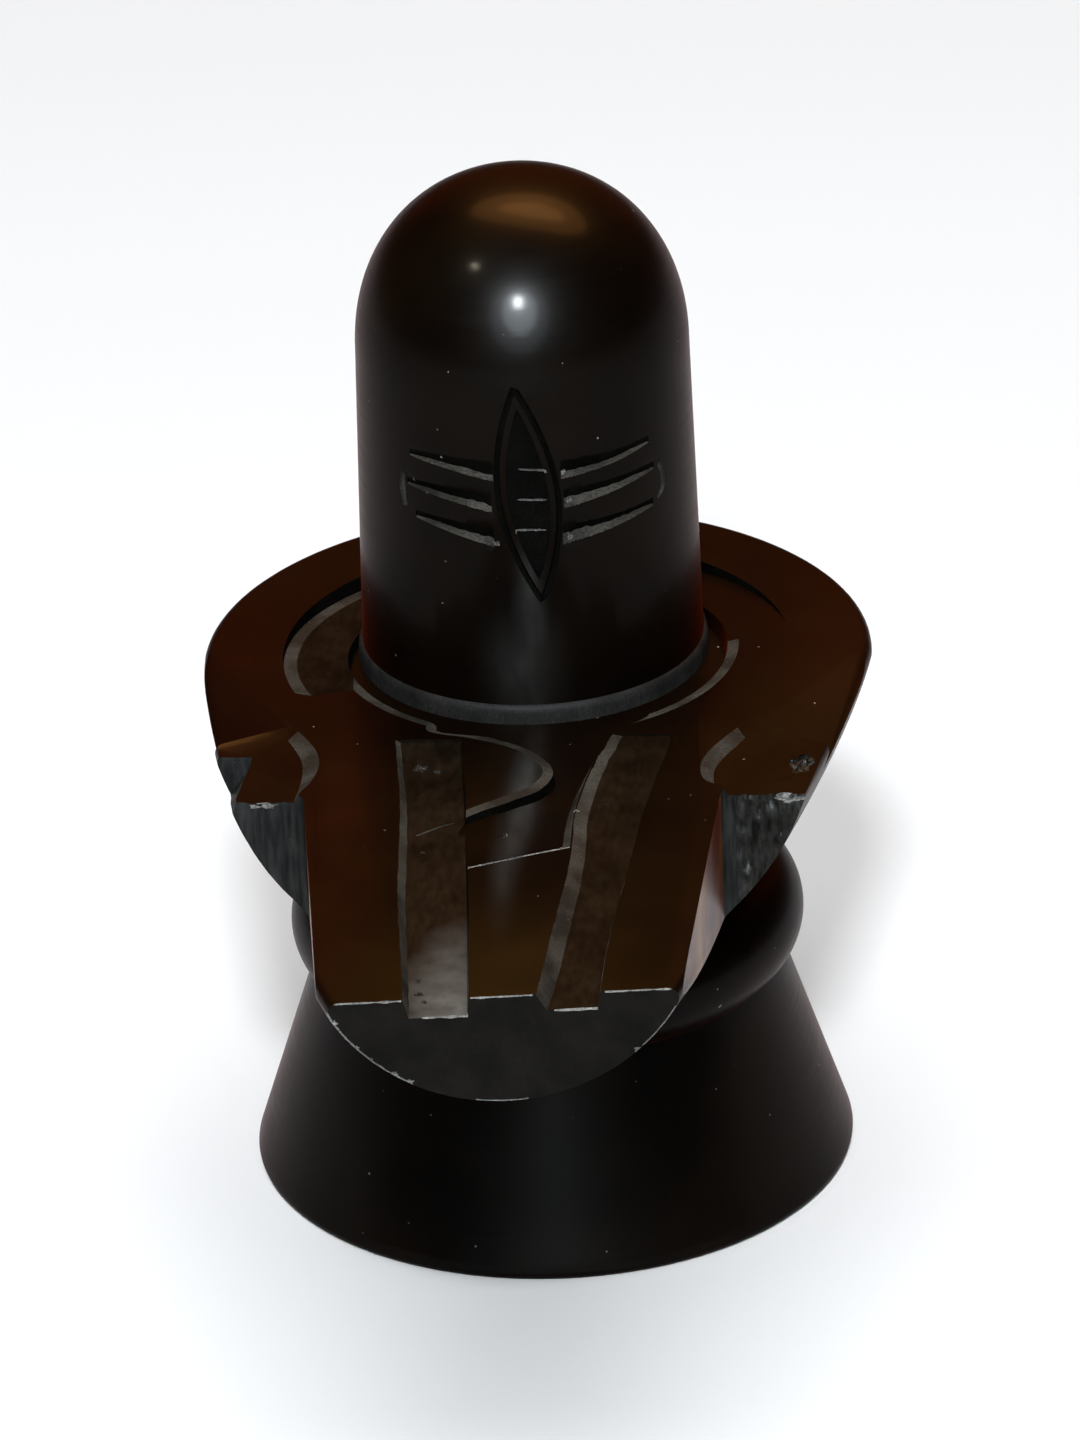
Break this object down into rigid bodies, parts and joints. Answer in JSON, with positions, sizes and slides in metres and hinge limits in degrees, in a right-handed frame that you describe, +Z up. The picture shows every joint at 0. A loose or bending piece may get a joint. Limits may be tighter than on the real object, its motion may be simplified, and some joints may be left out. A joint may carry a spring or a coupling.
{
  "type": "shiva lingam",
  "caption": "Small polished black stone shiva lingam: a domed post in a moated basin with a flat-nosed spout, on a flared round foot.",
  "frame": {"origin": "centre of the foot's flat underside", "axes": "+Z up along the turned foot's axis; the basin's spout points along -Y"},
  "size_m": [0.0964, 0.1564, 0.1512],
  "materials": {
    "black_stone": "polished near-black stone, with matt grey tool-cut lines, banks and rough sawn faces"
  },
  "bodies": {
    "root": {"shiva_lingam": "black_stone"}
  },
  "joints": []
}
